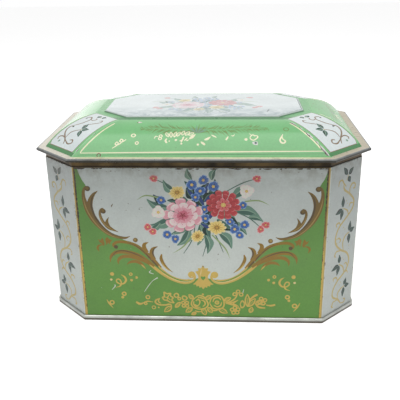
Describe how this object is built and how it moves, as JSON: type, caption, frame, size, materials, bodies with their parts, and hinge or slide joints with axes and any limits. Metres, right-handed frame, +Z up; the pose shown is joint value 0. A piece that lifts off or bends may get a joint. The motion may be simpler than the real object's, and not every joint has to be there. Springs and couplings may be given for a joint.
{
  "type": "hinged storage tin",
  "caption": "Eight-sided printed tinplate casket with a vaulted lid that swings up on hinges at the back, over a lacquered neck.",
  "frame": {"origin": "on the table, under the middle of the tin", "axes": "+X along the tin's length to the right as seen from the front, +Y to the back where the hinges are, +Z up"},
  "size_m": [0.2092, 0.1467, 0.1292],
  "materials": {
    "printed_tinplate": "gloss lithographed and varnished",
    "gold_lacquer": "transparent gold lacquer on tinplate",
    "bare_tinplate": "tinned, dulled by age",
    "steel_wire": "drawn wire"
  },
  "bodies": {
    "tin_body": {"body_band": "printed_tinplate", "neck_collar": "gold_lacquer", "base_plate": "bare_tinplate", "hinge_left_body_leaf": "bare_tinplate", "hinge_left_pin": "steel_wire", "hinge_right_body_leaf": "bare_tinplate", "hinge_right_pin": "steel_wire"},
    "lid": {"lid_shell": "printed_tinplate", "lid_rim_wire": "steel_wire", "hinge_left_lid_leaf": "bare_tinplate", "hinge_right_lid_leaf": "bare_tinplate"}
  },
  "joints": [
    {"name": "lid_hinge", "type": "hinge", "parent": "tin_body", "child": "lid", "pos_m": [0, 0.0723, 0.10865], "axis": [-1, 0, 0], "range_deg": [0, 105]}
  ]
}
